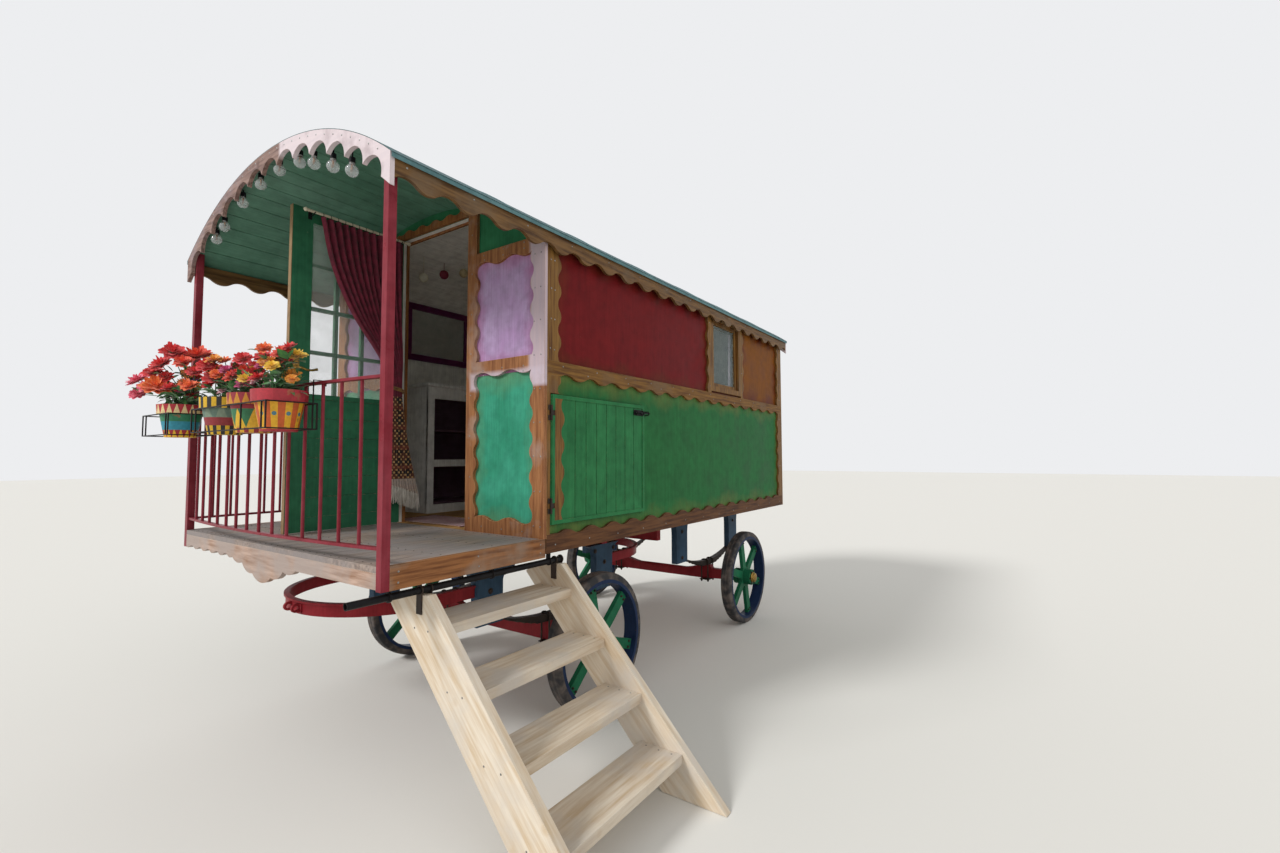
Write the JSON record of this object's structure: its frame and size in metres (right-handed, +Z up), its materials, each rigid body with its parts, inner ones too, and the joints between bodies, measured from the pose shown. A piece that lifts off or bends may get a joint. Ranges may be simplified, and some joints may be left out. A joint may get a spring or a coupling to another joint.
{
  "type": "living wagon",
  "caption": "Painted wooden living wagon with an arched metal roof, open railed porch, side steps, hinged door and hatch, and a turntable fore-carriage on spoked wheels.",
  "frame": {"origin": "centre of the drawbar pin's bore through the two lugs on the front hoop", "axes": "+X forward along the wagon, from the cabin towards the porch; +Y to the left side, where the steps are, along the drawbar pin; +Z up"},
  "size_m": [5.237, 3.432, 3.4478],
  "materials": {
    "bluegrey_painted_steel": "satin",
    "bulb_glass": "clear",
    "crimson_painted_wood": "satin paint",
    "dark_plastic": "matt",
    "dark_steel": "matt",
    "green_painted_wood": "satin paint",
    "grey_deck_wood": "weathered",
    "lilac_painted_wood": "satin paint",
    "oak_trim": "oiled",
    "painted_pot": "gloss paint",
    "pale_lining": "matt paint",
    "pine": "bare",
    "red_painted_steel": "satin",
    "slate_roof_metal": "satin",
    "tyre_rubber": "matt",
    "window_glass": "clear"
  },
  "bodies": {
    "wagon": {"chassis_frame": "red_painted_steel", "turntable_upper_ring": "dark_steel", "rear_hangers": "bluegrey_painted_steel", "rear_springs": "dark_steel", "rear_axle": "red_painted_steel", "middle_cross_beam": "red_painted_steel", "cabin_floor": "pine", "porch_deck": "grey_deck_wood", "porch_side_fascias": "oak_trim", "porch_front_fascia": "oak_trim", "porch_posts": "red_painted_steel", "front_railing": "red_painted_steel", "side_railing": "red_painted_steel", "front_wall": "lilac_painted_wood", "rear_wall": "green_painted_wood", "left_wall": "crimson_painted_wood", "right_wall": "crimson_painted_wood", "roof_sheet": "slate_roof_metal", "roof_boards": "green_painted_wood", "front_bargeboard": "oak_trim", "rear_bargeboard": "oak_trim", "eave_valances": "oak_trim", "side_corner_boards": "oak_trim", "front_corner_boards": "oak_trim", "waist_rails": "oak_trim", "bottom_boards": "oak_trim", "door_frame": "oak_trim", "window_frames": "oak_trim", "window_sashes": "pale_lining", "window_glass": "window_glass", "step_pipe": "dark_steel", "hinge_pins": "dark_steel", "lamp_sockets": "dark_plastic", "lamp_bulbs": "bulb_glass", "flower_pots": "painted_pot", "pot_troughs": "dark_steel"},
    "fore_carriage": {"turntable_lower_ring": "dark_steel", "fore_carriage_frame": "red_painted_steel", "fore_hoops": "red_painted_steel", "fore_hangers": "bluegrey_painted_steel", "fore_springs": "dark_steel", "front_axle": "red_painted_steel", "drawbar_lugs": "red_painted_steel"},
    "door": {"door_leaf": "green_painted_wood", "door_glass": "window_glass", "door_straps": "dark_steel"},
    "hatch": {"hatch_leaf": "green_painted_wood", "hatch_straps": "dark_steel", "hatch_trim": "oak_trim"},
    "steps": {"step_stringers": "pine", "step_treads": "pine", "step_eyes": "dark_steel"},
    "wheel_front_left": {"wheel_front_left": "green_painted_wood", "tyre_front_left": "tyre_rubber"},
    "wheel_front_right": {"wheel_front_right": "green_painted_wood", "tyre_front_right": "tyre_rubber"},
    "wheel_rear_left": {"wheel_rear_left": "green_painted_wood", "tyre_rear_left": "tyre_rubber"},
    "wheel_rear_right": {"wheel_rear_right": "green_painted_wood", "tyre_rear_right": "tyre_rubber"}
  },
  "joints": [
    {"name": "steering", "type": "hinge", "parent": "wagon", "child": "fore_carriage", "pos_m": [-1.5, 0, 0.218], "axis": [0, 0, 1], "range_deg": [-20, 20]},
    {"name": "door_hinge", "type": "hinge", "parent": "wagon", "child": "door", "pos_m": [-0.832, -0.327, 1.4], "axis": [0, 0, 1], "range_deg": [-27, 90]},
    {"name": "hatch_hinge", "type": "hinge", "parent": "wagon", "child": "hatch", "pos_m": [-0.871, 1.165, 0.829], "axis": [0, 0, -1], "range_deg": [0, 100]},
    {"name": "steps_hinge", "type": "hinge", "parent": "wagon", "child": "steps", "pos_m": [-0.5325, 1.11, 0.228], "axis": [1, 0, 0], "range_deg": [0, 45]},
    {"name": "front_left_spin", "type": "hinge", "parent": "fore_carriage", "child": "wheel_front_left", "pos_m": [-1.5, 1.005, -0.41], "axis": [0, 1, 0], "continuous": true},
    {"name": "front_right_spin", "type": "hinge", "parent": "fore_carriage", "child": "wheel_front_right", "pos_m": [-1.5, -1.005, -0.41], "axis": [0, 1, 0], "continuous": true},
    {"name": "rear_left_spin", "type": "hinge", "parent": "wagon", "child": "wheel_rear_left", "pos_m": [-3.94, 1.005, -0.41], "axis": [0, 1, 0], "continuous": true},
    {"name": "rear_right_spin", "type": "hinge", "parent": "wagon", "child": "wheel_rear_right", "pos_m": [-3.94, -1.005, -0.41], "axis": [0, 1, 0], "continuous": true}
  ]
}
